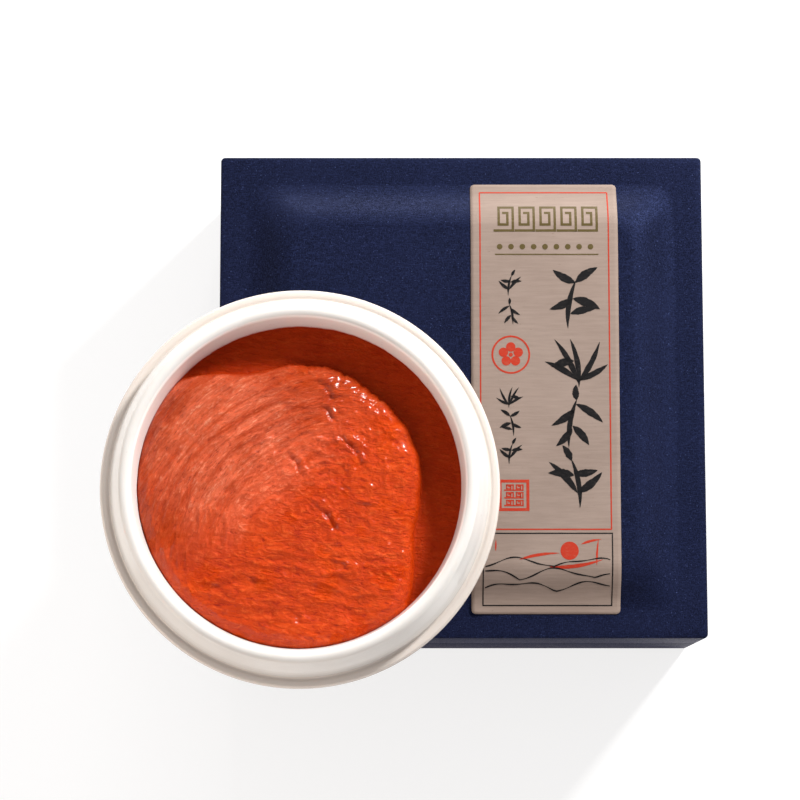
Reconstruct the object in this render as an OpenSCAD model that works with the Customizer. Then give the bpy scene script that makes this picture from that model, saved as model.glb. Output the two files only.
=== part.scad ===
// Seal paste box: a square padded presentation case with a fitted insert, and the
// porcelain pot of vermilion seal paste that it holds, with the pot's own lid.
// Millimetres, +Z up. The origin is the centre of the case's underside.
// The case lies flat and closed. The open pot stands on its lid, front left.
// The pot's lid lies in the insert's recess, inside the case.

/* [Case] */
// Outside width and depth of the case
case_side = 124; // [118:0.5:150]
// Radius of the case's upright outside edges
edge_r = 1.1; // [0.6:0.1:1.2]
// Height of the base walls' board
base_wall_h = 23.3; // [18:0.1:28]
// Greyboard of the base and the lid
board_t = 2; // [1.6:0.1:2.4]
// Covering fabric
wrap_t = 0.4; // [0.3:0.05:0.5]
// Paper tape round the corners of the boards
tape_t = 0.2; // [0.15:0.05:0.3]
// Width of each leg of a corner tape
tape_w = 12; // [8:0.5:16]
// Lining paper inside the base and the lid
lining_t = 0.3; // [0.2:0.05:0.4]
// Fabric turned in over an edge
turn_in = 14; // [10:0.5:16]
// Bare line between the base and the closed lid
seam_gap = 0.2; // [0.1:0.05:0.4]

/* [Underside] */
// Paper sheet that closes the underside
underside_t = 0.3; // [0.2:0.05:0.4]
// Fabric left showing round the underside sheet
underside_margin = 5; // [3:0.5:8]

/* [Neck] */
// Board of the neck that stands up inside the base
neck_t = 1.5; // [1:0.1:2]
// Height of the neck above the base's rim
neck_rise = 15; // [12:0.5:18]
// Paper glued over the neck boards
neck_paper_t = 0.3; // [0.2:0.05:0.4]
// Neck paper turned down behind the boards
neck_fold = 8; // [5:0.5:12]
// Gap between the neck and the lid's lining
neck_clear = 0.3; // [0.2:0.05:0.4]

/* [Insert] */
// Top of the foam below the neck's top
foam_drop = 2.4; // [1.5:0.1:4]
// Foam disc under the stored pot
pad_t = 2; // [1.5:0.1:4]
// Satin over the foam
satin_t = 0.4; // [0.3:0.05:0.5]
// Gap round the stored pot
recess_clear = 0.9; // [0.7:0.05:1]
// Radius of each finger notch
notch_r = 11; // [9:0.5:12]
// Distance from the recess's axis to a notch's axis
notch_place = 50; // [48:0.5:51]
// Height of a notch's floor above the pad
notch_floor = 14; // [10:0.5:18]

/* [Padded lid] */
// Headroom above the closed pot
head_clear = 1; // [0.5:0.1:3]
// Flat border between the lid's edge and its padding
border_w = 7.7; // [6:0.1:9]
// Width of the slope up to the plateau
slope_w = 11; // [8:0.5:13]
// Height of the padding
crown_h = 5; // [3.5:0.1:6]
// How far the two ends of the slope are eased, 0 for a straight slope
crown_ease = 0.5; // [0.2:0.05:0.9]

/* [Label] */
// Width of the label
label_w = 37.6; // [34:0.1:40]
// Length of the label, laid flat
label_l = 110.6; // [106:0.1:114]
// Paper of the label
label_t = 0.2; // [0.15:0.05:0.25]
// Radius of the label's corners
label_r = 1; // [0.5:0.1:2]
// Left edge of the label, from the case's middle
label_left = 2.3; // [1:0.1:4]
// Back edge of the label, from the case's middle
label_back = 54.7; // [53:0.1:57]

/* [Pot] */
// Radius of the pot at its lip
lip_r = 49; // [47:0.1:49.2]
// Height of the ledge that the pot's lid sits on
ledge_z = 22; // [20:0.1:24]
// Radius of the foot ring, outside
foot_r = 29.5; // [27:0.5:31]
// Width of the foot ring
foot_w = 3.5; // [3:0.1:4.5]
// Height of the foot ring
foot_h = 2.5; // [2:0.1:3]
// Height of the rounded edge under the ledge
lip_h = 1.4; // [1:0.1:2]
// Width of the ledge
ledge_w = 2.6; // [2.3:0.1:2.9]
// Rounding of the foot ring's and the seat's edges
edge_round = 0.6; // [0.4:0.05:0.7]
// Rounding in the corner between ledge and collar
corner_fillet = 0.4; // [0.2:0.05:0.5]
// Hollow under the bowl, inside the foot ring
foot_hollow = 1.8; // [1.2:0.1:2.2]
// Height of the collar above the ledge
collar_h = 11.3; // [10:0.1:12]
// Inward lean of the collar, from ledge to top
collar_lean = 2.8; // [2.5:0.1:3.2]
// How far the collar's outside swells between ledge and top
collar_swell = 0.5; // [0:0.1:0.6]
// Thickness of the collar at its top
collar_t = 3.3; // [3:0.1:3.6]
// Inward lean of the collar's inner wall down to the paste
well_lean = 1; // [0.6:0.1:1.4]
// Thickness of the pot's floor above its foot ring
floor_t = 3.2; // [3:0.1:4]
// Place of the pot on the lid, left to right
pot_x = -40.2; // [-41.5:0.1:-38]
// Place of the pot on the lid, front to back
pot_y = -26.6; // [-30:0.1:-22]
// Gap under the pot's foot
rest_gap = 0.1; // [0.05:0.05:0.2]

/* [Seal paste] */
// Depth of the paste below the collar's top
paste_drop = 10.4; // [9.5:0.1:11]
// Gap between the paste and the porcelain
paste_gap = 0.15; // [0.1:0.05:0.3]
// Radius of the folded lump that lies on the paste
lump_r = 35.5; // [33:0.5:37]
// Place of the lump's middle, left and in front of the pot's axis
lump_shift = 5; // [3:0.5:6]
// Height of the lump's rounded edge
lump_h = 3.4; // [2:0.1:3.6]
// Width over which the lump's edge rises
lump_edge = 3.5; // [3:0.1:5]
// Width over which the lump sinks beside the wall of the well
rim_w = 2.5; // [1.5:0.1:4]
// Extra height at the lump's middle
lump_crown = 0.8; // [0.3:0.1:1]

/* [Pot lid] */
// Gap between the lid's skirt and the collar
skirt_clear = 0.5; // [0.3:0.05:0.6]
// Height of the lid's straight side
lid_side_h = 11; // [10:0.5:13]
// Height of the lid's shoulder above its side
lid_shoulder_h = 6.5; // [5:0.5:8]
// Rise of the lid's gently domed top
lid_dome_h = 2.5; // [1.5:0.1:3.5]
// Thickness of the lid's top
lid_top_t = 3.2; // [3:0.1:4]
// Radius where the shoulder meets the domed top
lid_top_r = 38; // [34:0.5:40]

/* [Hidden] */

$fn = 96;
half = case_side / 2;

// Half widths of the layers of a wall, from the outside in
wrap_in = half - wrap_t;
board_out = wrap_in - tape_t;
board_in = board_out - board_t;
turn_in_face = board_in - wrap_t;
lining_in = turn_in_face - lining_t;
neck_out = lining_in - neck_clear;
neck_board_out = neck_out - neck_paper_t;
neck_in = neck_board_out - neck_t;
neck_fold_in = neck_in - neck_paper_t;

// Levels of the base
sheet_half = half - underside_margin;
wrap_bottom = underside_t;
board_bottom = wrap_bottom + wrap_t;
base_floor = board_bottom + board_t;
base_board_top = base_floor + base_wall_h;
base_top = base_board_top + wrap_t;
floor_paper_top = base_floor + lining_t;
neck_board_top = base_top + neck_rise;
neck_top = neck_board_top + neck_paper_t;

// Levels of the insert
foam_half = neck_fold_in;
foam_top = neck_top - foam_drop - satin_t;
satin_top = foam_top + satin_t;
pad_top = floor_paper_top + pad_t;
recess_floor = pad_top + satin_t;
recess_r = lip_r + recess_clear;
foam_r = recess_r + satin_t;
notch_z = recess_floor + notch_floor;

// Levels of the lid
pot_lid_h = lid_side_h + lid_shoulder_h + lid_dome_h;
ceiling = recess_floor + ledge_z + pot_lid_h + head_clear;
lid_board_bottom = base_top + seam_gap + wrap_t;
lid_skirt_bottom = base_top + seam_gap;
lid_panel_bottom = ceiling + lining_t;
lid_panel_top = lid_panel_bottom + board_t;
border_top = lid_panel_top + wrap_t;
pad_half = half - border_w;
plateau_top = border_top + crown_h;

// The pot's outline, from its foot upwards
pot_z = plateau_top + rest_gap;
collar_foot_r = lip_r - ledge_w;
collar_top_z = ledge_z + collar_h;
collar_top_r = collar_foot_r - collar_lean;
collar_in_r = collar_top_r - collar_t;
round_r = collar_t / 2;
paste_z = collar_top_z - paste_drop;
well_r = collar_in_r - well_lean;
bowl_steps = 10;
swell_steps = 6;
floor_z = foot_h + floor_t;

// Mesh of the paste
paste_turns = 48;
paste_rings = 12;
bowl_rings = 5;

// A square plate or block with rounded upright edges, between two levels
module block(h, low, high, r = 0) {
    translate([0, 0, low])
        linear_extrude(high - low)
            rounded_square(h, r);
}

module rounded_square(h, r = 0) {
    if (r > 0) {
        union() {
            square([2 * h, 2 * (h - r)], center = true);
            square([2 * (h - r), 2 * h], center = true);
            for (x = [-1, 1], y = [-1, 1])
                translate([x * (h - r), y * (h - r)])
                    circle(r);
        }
    } else {
        square(2 * h, center = true);
    }
}

// A square tube between two half widths and two levels
module tube(out, inner, low, high, r = 0) {
    difference() {
        block(out, low, high, r);
        block(inner, low - 1, high + 1);
    }
}

// The four upright boards of a box: the front and back run the full width
module long_board(out, t, low, high, side) {
    translate([-out, side > 0 ? out - t : -out, low])
        cube([2 * out, t, high - low]);
}

module short_board(out, t, low, high, side) {
    translate([side > 0 ? out - t : -out, t - out, low])
        cube([t, 2 * (out - t), high - low]);
}

// Angle strips of paper that tie the boards together at the corners
module corner_tapes(low, high) {
    for (a = [0:90:270])
        rotate([0, 0, a])
            translate([board_out - tape_w, board_out - tape_w, low])
                difference() {
                    cube([tape_w + tape_t, tape_w + tape_t, high - low]);
                    translate([-1, -1, -1])
                        cube([tape_w + 1, tape_w + 1, high - low + 2]);
                }
}

// Height of the padding at a distance d inside its edge
function crown(d) =
    d <= 0 ? 0 :
    d >= slope_w ? crown_h :
    crown_h * (d / slope_w - crown_ease * sin(360 * d / slope_w) / (2 * PI));

crown_steps = 12;
slope_points = [
    for (i = [0:crown_steps])
        let (d = slope_w * i / crown_steps)
        [pad_half - d, crown(d)]
];

// Section of the padding: the slope on each side and the plateau between
function crown_section(low, lift) = concat(
    low < lift ? [[pad_half + lift, low]] : [],
    [for (p = slope_points) [p[0] + lift, p[1] + lift]],
    [for (i = [crown_steps:-1:0]) [-slope_points[i][0] - lift, slope_points[i][1] + lift]],
    low < lift ? [[-pad_half - lift, low]] : []
);

module crown_ridge(low, lift) {
    rotate([90, 0, 0])
        linear_extrude(2 * (pad_half + lift), center = true)
            polygon(crown_section(low, lift));
}

// The padding is square, so its four slopes meet in mitres
module crown_block(low, lift = 0) {
    intersection() {
        crown_ridge(low, lift);
        rotate([0, 0, 90])
            crown_ridge(low, lift);
    }
}

// Base, from the underside up

module base_underside_sheet() {
    color("#3a3632")
        union() {
            block(sheet_half, 0, underside_t);
            // Between the turned-in fabric it is glued to the board
            block(half - turn_in, 0, board_bottom);
        }
}

module base_bottom_board() {
    color("#8d8983")
        block(board_out, board_bottom, base_floor);
}

module base_front_board() {
    color("#8d8983")
        long_board(board_out, board_t, base_floor, base_board_top, -1);
}

module base_back_board() {
    color("#8d8983")
        long_board(board_out, board_t, base_floor, base_board_top, 1);
}

module base_left_board() {
    color("#8d8983")
        short_board(board_out, board_t, base_floor, base_board_top, -1);
}

module base_right_board() {
    color("#8d8983")
        short_board(board_out, board_t, base_floor, base_board_top, 1);
}

module base_corner_tapes() {
    color("#b79f78")
        corner_tapes(board_bottom, base_board_top);
}

module base_fabric_wrap() {
    color("#20243e")
        union() {
            // Outer face
            difference() {
                block(half, wrap_bottom, base_top, edge_r);
                block(wrap_in, wrap_bottom - 1, base_top + 1);
            }
            // Over the rim and down inside
            tube(wrap_in, turn_in_face, base_board_top, base_top);
            tube(board_in, turn_in_face, base_top - turn_in, base_top);
            // Under the bottom board
            tube(wrap_in, half - turn_in, wrap_bottom, board_bottom);
        }
}

module base_lining() {
    color("#d9cdb4")
        union() {
            block(board_in, base_floor, floor_paper_top);
            tube(turn_in_face, lining_in, base_floor, base_top - seam_gap);
            // Below the fabric it lies on the boards
            tube(board_in, lining_in, base_floor, base_top - turn_in);
        }
}

// Neck, glued inside the base, that the lid slides down over

module neck_front() {
    color("#8d8983")
        long_board(neck_board_out, neck_t, floor_paper_top, neck_board_top, -1);
}

module neck_back() {
    color("#8d8983")
        long_board(neck_board_out, neck_t, floor_paper_top, neck_board_top, 1);
}

module neck_left() {
    color("#8d8983")
        short_board(neck_board_out, neck_t, floor_paper_top, neck_board_top, -1);
}

module neck_right() {
    color("#8d8983")
        short_board(neck_board_out, neck_t, floor_paper_top, neck_board_top, 1);
}

module neck_paper() {
    color("#c9a75f")
        union() {
            tube(neck_out, neck_board_out, floor_paper_top, neck_top);
            tube(neck_board_out, neck_fold_in, neck_board_top, neck_top);
            tube(neck_in, neck_fold_in, neck_top - neck_fold, neck_top);
        }
}

// Insert

// The round recess and its two finger notches, grown by g
module recess_cut(g) {
    translate([0, 0, floor_paper_top - 1])
        cylinder(r = recess_r + g, h = satin_top);
    for (s = [-1, 1])
        translate([s * notch_place * cos(45), s * notch_place * sin(45), notch_z - g])
            cylinder(r = notch_r + g, h = satin_top);
}

module foam_insert() {
    color("#2b2b2d")
        difference() {
            union() {
                block(foam_half, floor_paper_top, foam_top);
                // Below the folded paper it fills the neck
                block(neck_in, floor_paper_top, neck_top - neck_fold);
            }
            recess_cut(satin_t);
        }
}

module recess_pad() {
    color("#2b2b2d")
        translate([0, 0, floor_paper_top])
            cylinder(r = foam_r, h = pad_t);
}

module insert_satin_cover() {
    color("#d8b465")
        difference() {
            union() {
                block(foam_half, foam_top, satin_top);
                intersection() {
                    recess_cut(satin_t);
                    block(foam_half, pad_top, satin_top);
                }
            }
            difference() {
                recess_cut(0);
                block(foam_half, 0, recess_floor);
            }
        }
}

// Case lid

module lid_top_board() {
    color("#8d8983")
        block(board_out, lid_panel_bottom, lid_panel_top);
}

module lid_front_board() {
    color("#8d8983")
        long_board(board_out, board_t, lid_board_bottom, lid_panel_bottom, -1);
}

module lid_back_board() {
    color("#8d8983")
        long_board(board_out, board_t, lid_board_bottom, lid_panel_bottom, 1);
}

module lid_left_board() {
    color("#8d8983")
        short_board(board_out, board_t, lid_board_bottom, lid_panel_bottom, -1);
}

module lid_right_board() {
    color("#8d8983")
        short_board(board_out, board_t, lid_board_bottom, lid_panel_bottom, 1);
}

module lid_corner_tapes() {
    color("#b79f78")
        corner_tapes(lid_board_bottom, lid_panel_top);
}

module lid_sponge_pad() {
    color("#e8e4d8")
        translate([0, 0, lid_panel_top])
            crown_block(0);
}

module lid_fabric_wrap() {
    color("#20243e")
        difference() {
            union() {
                block(half, lid_skirt_bottom, border_top, edge_r);
                translate([0, 0, lid_panel_top])
                    crown_block(0, wrap_t);
            }
            translate([0, 0, lid_panel_top])
                crown_block(-1);
            block(wrap_in, lid_board_bottom, lid_panel_top);
            block(turn_in_face, lid_skirt_bottom - 1, lid_panel_top);
        }
    color("#20243e")
        tube(board_in, turn_in_face, lid_board_bottom, lid_skirt_bottom + turn_in);
}

module lid_lining() {
    color("#d9cdb4")
        union() {
            block(board_in, ceiling, lid_panel_bottom);
            tube(turn_in_face, lining_in, lid_skirt_bottom + seam_gap, lid_panel_bottom);
            // Above the fabric it lies on the boards
            tube(board_in, lining_in, lid_skirt_bottom + turn_in, lid_panel_bottom);
        }
}

// Height of the fabric at y, on the strip where only the front and back slopes count
function fabric_z(y) = border_top + crown(pad_half + wrap_t - abs(y));

label_front = label_back - label_l;
label_ys = concat(
    [label_back],
    [for (i = [0:crown_steps]) pad_half + wrap_t - slope_w * i / crown_steps],
    [for (i = [crown_steps:-1:0]) -(pad_half + wrap_t - slope_w * i / crown_steps)],
    [label_front]
);
label_path = [for (y = label_ys) if (y <= label_back && y >= label_front) [y, fabric_z(y)]];

// The label follows the padding's front and back slopes
module lid_label() {
    color("#bfa791")
        intersection() {
            rotate([90, 0, 90])
                linear_extrude(label_left + label_w + 1)
                    polygon(concat(
                        [for (p = label_path) [p[0], p[1]]],
                        [for (i = [len(label_path) - 1:-1:0]) [label_path[i][0], label_path[i][1] + label_t]]
                    ));
            translate([label_left, label_front, border_top - 1])
                linear_extrude(crown_h + 2)
                    label_outline();
        }
}

module label_outline() {
    union() {
        translate([label_r, 0])
            square([label_w - 2 * label_r, label_l]);
        translate([0, label_r])
            square([label_w, label_l - 2 * label_r]);
        for (x = [label_r, label_w - label_r], y = [label_r, label_l - label_r])
            translate([x, y])
                circle(label_r);
    }
}

// Pot

// Outside of the bowl, a quarter of an oval from the foot to the lip
function bowl_out(a) = [
    foot_r + (lip_r - foot_r) * sin(a),
    foot_h + (ledge_z - lip_h - foot_h) * (1 - cos(a))
];

// Inside of the bowl, from the floor's middle to the well's wall
function bowl_in(a, gap = 0) = [
    (well_r - gap) * sin(a),
    floor_z + gap + (paste_z - floor_z - gap) * (1 - cos(a))
];

// Outside of the collar or of what fits over it, from low (0) to high (1)
function swollen(t, low, high) = [
    low[0] + (high[0] - low[0]) * t + collar_swell * sin(180 * t),
    low[1] + (high[1] - low[1]) * t
];

// Rounded top of the collar, from outside (0) to inside (180)
function collar_top(a) = [
    collar_top_r - round_r * (1 - cos(a)),
    collar_top_z - round_r + round_r * sin(a)
];

collar_low = [collar_foot_r, ledge_z + corner_fillet];
collar_high = collar_top(30);

pot_outline = concat(
    [[0, foot_hollow], [foot_r - foot_w, foot_hollow], [foot_r - foot_w, edge_round]],
    [[foot_r - foot_w + edge_round, 0], [foot_r - edge_round, 0], [foot_r, edge_round]],
    [for (i = [0:bowl_steps]) bowl_out(90 * i / bowl_steps)],
    [for (a = [30:30:90]) [lip_r - edge_round * (1 - cos(a)), ledge_z - lip_h + lip_h * sin(a)]],
    [[collar_foot_r + corner_fillet, ledge_z]],
    [for (i = [0:swell_steps - 1]) swollen(i / swell_steps, collar_low, collar_high)],
    [for (a = [30:30:180]) collar_top(a)],
    [for (i = [bowl_steps:-1:0]) bowl_in(90 * i / bowl_steps)]
);

module pot_body() {
    color("#f1ece6")
        translate([pot_x, pot_y, pot_z])
            rotate_extrude()
                polygon(pot_outline);
}

// How far inside the lump's edge a point of the paste lies
function lump_depth(x, y) = lump_r - norm([x + lump_shift, y + lump_shift]);

// Top of the paste: a flat bed with the folded lump on it
function lump_rise(d) =
    d <= 0 ? 0 :
    (d >= lump_edge ? lump_h : lump_h * sin(90 * d / lump_edge)) + lump_crown * d / lump_r;

// Where the lump meets the wall of the well its rim is lower, by up to half
function rim_share(r) = min(1, (well_r - r) / rim_w);

function paste_top(x, y) = paste_z + lump_rise(lump_depth(x, y)) * (0.5 + 0.5 * rim_share(norm([x, y])));

function ring_radius(i) = (well_r - paste_gap) * sin(90 * i / paste_rings);

paste_points = concat(
    [[0, 0, paste_top(0, 0)]],
    [for (i = [1:paste_rings], j = [0:paste_turns - 1])
        let (r = ring_radius(i), a = 360 * j / paste_turns, x = r * cos(a), y = r * sin(a))
        [x, y, paste_top(x, y)]],
    [for (i = [bowl_rings - 1:-1:1], j = [0:paste_turns - 1])
        let (p = bowl_in(90 * i / bowl_rings, paste_gap), a = 360 * j / paste_turns)
        [p[0] * cos(a), p[0] * sin(a), p[1] + paste_gap]],
    [[0, 0, floor_z + paste_gap]]
);

paste_rows = paste_rings + bowl_rings - 1;
paste_last = len(paste_points) - 1;

function paste_at(row, j) = 1 + (row - 1) * paste_turns + j % paste_turns;

paste_faces = concat(
    [for (j = [0:paste_turns - 1]) [0, paste_at(1, j + 1), paste_at(1, j)]],
    [for (row = [1:paste_rows - 1], j = [0:paste_turns - 1])
        [paste_at(row, j), paste_at(row, j + 1), paste_at(row + 1, j)]],
    [for (row = [1:paste_rows - 1], j = [0:paste_turns - 1])
        [paste_at(row + 1, j), paste_at(row, j + 1), paste_at(row + 1, j + 1)]],
    [for (j = [0:paste_turns - 1]) [paste_last, paste_at(paste_rows, j), paste_at(paste_rows, j + 1)]]
);

module seal_paste() {
    color("#c9422a")
        translate([pot_x, pot_y, pot_z])
            polyhedron(paste_points, paste_faces);
}

// Pot lid: a straight side, a round shoulder and a gently domed top
skirt_in_r = collar_foot_r + skirt_clear;
shoulder_z = lid_side_h;
dome_z = lid_side_h + lid_shoulder_h;
skirt_top_r = collar_top_r + skirt_clear;
skirt_low = [skirt_in_r, corner_fillet];
skirt_high = [skirt_top_r, collar_h - round_r];

function shoulder(a) = [
    lid_top_r + (lip_r - lid_top_r) * cos(a),
    shoulder_z + lid_shoulder_h * sin(a)
];

function dome(t) = [lid_top_r * (1 - t), dome_z + lid_dome_h * sin(90 * t)];

dome_steps = 6;
pot_lid_outline = concat(
    [for (i = [swell_steps:-1:0]) swollen(i / swell_steps, skirt_low, skirt_high)],
    [[skirt_in_r + corner_fillet, 0]],
    [[lip_r - edge_round, 0], [lip_r, edge_round]],
    [for (a = [0:15:90]) shoulder(a)],
    [for (i = [1:dome_steps]) dome(i / dome_steps)],
    [[0, dome_z + lid_dome_h - lid_top_t], [lid_top_r, dome_z - lid_top_t], [skirt_top_r, collar_h]]
);

module pot_lid() {
    color("#f1ece6")
        translate([0, 0, recess_floor])
            rotate_extrude()
                polygon(pot_lid_outline);
}

base_underside_sheet();
base_bottom_board();
base_front_board();
base_back_board();
base_left_board();
base_right_board();
base_corner_tapes();
base_fabric_wrap();
base_lining();
neck_front();
neck_back();
neck_left();
neck_right();
neck_paper();
foam_insert();
recess_pad();
insert_satin_cover();
lid_top_board();
lid_front_board();
lid_back_board();
lid_left_board();
lid_right_board();
lid_corner_tapes();
lid_sponge_pad();
lid_fabric_wrap();
lid_lining();
lid_label();
pot_body();
seal_paste();
pot_lid();
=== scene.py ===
"""Seal paste box: the padded case, its label and insert, and the porcelain pot of paste.

Pieces are modelled in millimetres on the bench and turned into metres when they are set down.
"""

import math
import random

import bmesh
import bpy
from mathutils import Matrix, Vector, noise


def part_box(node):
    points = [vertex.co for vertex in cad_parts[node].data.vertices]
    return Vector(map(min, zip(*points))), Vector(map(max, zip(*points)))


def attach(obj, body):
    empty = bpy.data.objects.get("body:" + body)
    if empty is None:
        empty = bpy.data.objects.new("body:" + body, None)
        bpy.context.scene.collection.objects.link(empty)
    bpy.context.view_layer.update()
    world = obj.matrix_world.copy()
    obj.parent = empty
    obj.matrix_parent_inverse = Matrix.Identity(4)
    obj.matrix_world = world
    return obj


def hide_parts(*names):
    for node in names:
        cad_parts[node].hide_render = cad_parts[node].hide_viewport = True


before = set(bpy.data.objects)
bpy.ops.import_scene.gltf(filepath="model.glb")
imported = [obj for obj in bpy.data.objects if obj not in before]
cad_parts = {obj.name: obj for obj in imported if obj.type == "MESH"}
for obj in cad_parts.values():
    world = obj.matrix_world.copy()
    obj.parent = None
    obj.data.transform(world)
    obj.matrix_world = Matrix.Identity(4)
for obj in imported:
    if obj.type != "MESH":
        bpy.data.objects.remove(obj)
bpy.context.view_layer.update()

BENCH = 0.001  # metres in a bench millimetre
MERGE = 0.001  # bench millimetres under which two points are one


def node_box(node):
    """Lowest and highest corner of a CAD node, in bench millimetres."""
    low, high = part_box(node)
    return Vector(low) / BENCH, Vector(high) / BENCH


# Sizes read from the frame

wrap_low, wrap_high = node_box("lid_fabric_wrap")
base_low, base_high = node_box("base_fabric_wrap")
pad_low, pad_high = node_box("lid_sponge_pad")
label_low, label_high = node_box("lid_label")
foam_low, foam_high = node_box("foam_insert")
satin_high = node_box("insert_satin_cover")[1]
disc_low, disc_high = node_box("recess_pad")
pot_low, pot_high = node_box("pot_body")
cover_low, cover_high = node_box("pot_lid")

HALF = wrap_high.x
PLATEAU = wrap_high.z
PAD_HALF = pad_high.x
PANEL_TOP = pad_low.z
CROWN = pad_high.z - pad_low.z
WRAP = PLATEAU - pad_high.z
BORDER = PANEL_TOP + WRAP
SKIRT_BOTTOM = wrap_low.z
BASE_TOP = base_high.z
BASE_BOTTOM = base_low.z
POT = Vector(((pot_low.x + pot_high.x) / 2, (pot_low.y + pot_high.y) / 2, pot_low.z))
LIP_R = (pot_high.x - pot_low.x) / 2
POT_H = pot_high.z - pot_low.z

# Sizes that the boxes don't give, in millimetres

SLOPE = 11.0
CREASE_EASE = 0.5
TURN_IN = 14.0
WALL = 3.0
HIP_ROUND = 7.0
EDGE_R = 1.1
FOLD_R = 0.5
SLACK = 0.12
DENT = 0.16  # how far the pot's foot sinks in
DENT_W = 3.4

LEDGE_Z = 22.0
LEDGE_W = 2.6
FOOT_R = 29.5
FOOT_W = 3.5
FOOT_H = 2.5
FOOT_HOLLOW = 1.8
LIP_H = 1.4
COLLAR_LEAN = 2.8
COLLAR_SWELL = 0.5
COLLAR_T = 3.3
WELL_LEAN = 1.0
PASTE_Z = 22.9
LUMP_R = 30.0
LUMP_TURN = 45  # degrees to the middle of the lump's free edge
LUMP_SPAN = 64  # degrees to either side over which the edge is free
LUMP_BLEND = 42  # degrees over which it then runs out to the wall
LUMP_FILL = 12.0  # how much further the lump reaches there
FLOOR_Z = 5.7
EDGE_ROUND = 0.6

RECESS_R = 49.9
NOTCH_R = 11.0
NOTCH_PLACE = 50.0
NOTCH_Z = 19.4

RECESS_FLOOR = 5.4

SWEEP = Vector((15.0, -25.0))  # what the paste's strands run round, from the pot's axis
SWEEP_R = 45  # radius at which a length along a strand is true


# Finishes


class Finish:
    """A procedural finish: patterns on Object coordinates that feed one Principled shader."""

    def __init__(self, name, colour, **sockets):
        self.material = bpy.data.materials.new(name)
        self.material.use_nodes = True
        self.material.diffuse_color = (*colour, 1)
        self.tree = self.material.node_tree
        self.shader = self.tree.nodes["Principled BSDF"]
        self.shader.inputs["Base Color"].default_value = (*colour, 1)
        for key, value in sockets.items():
            self.shader.inputs[key.replace("_", " ")].default_value = value
        self.place = self.node("TexCoord", "Object")

    def node(self, kind, output, **sockets):
        """Adds a node, feeds its named inputs and returns its named output."""
        made = self.tree.nodes.new("ShaderNode" + kind)
        for key, value in sockets.items():
            self.feed(made.inputs[key.replace("_", " ")], value)
        return made.outputs[output]

    def feed(self, socket, value):
        if isinstance(value, bpy.types.NodeSocket):
            self.tree.links.new(value, socket)
        elif value is not None:
            socket.default_value = value

    def mapped(self, stretch=(1, 1, 1), turn=0.0, centre=(0, 0, 0)):
        """Object coordinates turned by turn degrees about Z round centre, then stretched."""
        shifted = self.node("Mapping", "Vector", Vector=self.place, Location=[-c for c in centre])
        turned = self.node("Mapping", "Vector", Vector=shifted, Rotation=(0, 0, math.radians(-turn)))
        return self.node("Mapping", "Vector", Vector=turned, Scale=stretch)

    def swept(self, centre, along, across):
        """Coordinates that run round an upright axis, long in the direction of the sweep."""
        around = self.mapped(centre=centre)
        x, y = self.axis("X", around), self.axis("Y", around)
        squares = self.maths("ADD", self.times(x, x), self.times(y, y))
        outward = self.maths("DIVIDE", self.maths("SQRT", squares), across)
        swing = self.times(self.maths("ARCTAN2", y, x), SWEEP_R * BENCH / along)
        return self.node("CombineXYZ", "Vector", X=swing, Y=outward)

    def noise(self, size, detail=2.0, rough=0.5, where=None, twist=0.0):
        """Cloudy pattern whose features are about size metres across."""
        look = {"Scale": 1 / size, "Detail": detail, "Roughness": rough, "Distortion": twist}
        return self.node("TexNoise", "Fac", Vector=where or self.place, **look)

    def cells(self, size, feature="F1"):
        """Distance from scattered points about size metres apart."""
        n = self.tree.nodes.new("ShaderNodeTexVoronoi")
        n.feature = feature
        self.feed(n.inputs["Vector"], self.place)
        n.inputs["Scale"].default_value = 1 / size
        return n.outputs["Distance"]

    def rings(self, size, centre, twist=0.0):
        """Fine turned rings round an upright axis."""
        n = self.tree.nodes.new("ShaderNodeTexWave")
        n.wave_type = "RINGS"
        n.rings_direction = "Z"
        self.feed(n.inputs["Vector"], self.mapped(centre=centre))
        n.inputs["Scale"].default_value = 1 / size
        n.inputs["Distortion"].default_value = twist
        n.inputs["Detail"].default_value = 2
        return n.outputs["Fac"]

    def maths(self, operation, a, b=None):
        n = self.tree.nodes.new("ShaderNodeMath")
        n.operation = operation
        self.feed(n.inputs[0], a)
        self.feed(n.inputs[1], b)
        return n.outputs[0]

    def times(self, a, b):
        return self.maths("MULTIPLY", a, b)

    def span(self, value, low, high, to_low=0.0, to_high=1.0):
        """Maps low to to_low and high to to_high, and holds the result between those two."""
        ends = {"From_Min": low, "From_Max": high, "To_Min": to_low, "To_Max": to_high}
        return self.node("MapRange", "Result", Value=value, **ends)

    def blend(self, share, a, b):
        """Value a where share is 0 and value b where it is 1."""
        n = self.tree.nodes.new("ShaderNodeMix")
        for socket, value in zip((n.inputs[0], n.inputs[2], n.inputs[3]), (share, a, b)):
            self.feed(socket, value)
        return n.outputs[0]

    def tint(self, share, a, b):
        """Colour a where share is 0 and colour b where it is 1."""
        n = self.tree.nodes.new("ShaderNodeMix")
        n.data_type = "RGBA"
        self.feed(n.inputs[0], share)
        for socket, value in ((n.inputs[6], a), (n.inputs[7], b)):
            self.feed(socket, value if isinstance(value, bpy.types.NodeSocket) else (*value, 1))
        return n.outputs[2]

    def axis(self, name, where=None):
        return self.node("SeparateXYZ", name, Vector=where or self.place)

    def colour(self, value):
        self.feed(self.shader.inputs["Base Color"], value)

    def roughness(self, value):
        self.feed(self.shader.inputs["Roughness"], value)

    def relief(self, *layers):
        """Bump layers, each (height, depth in metres, strength)."""
        below = None
        for height, depth, strength in layers:
            look = {"Height": height, "Distance": depth, "Strength": strength}
            below = self.node("Bump", "Normal", Normal=below, **look)
        self.feed(self.shader.inputs["Normal"], below)


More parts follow.
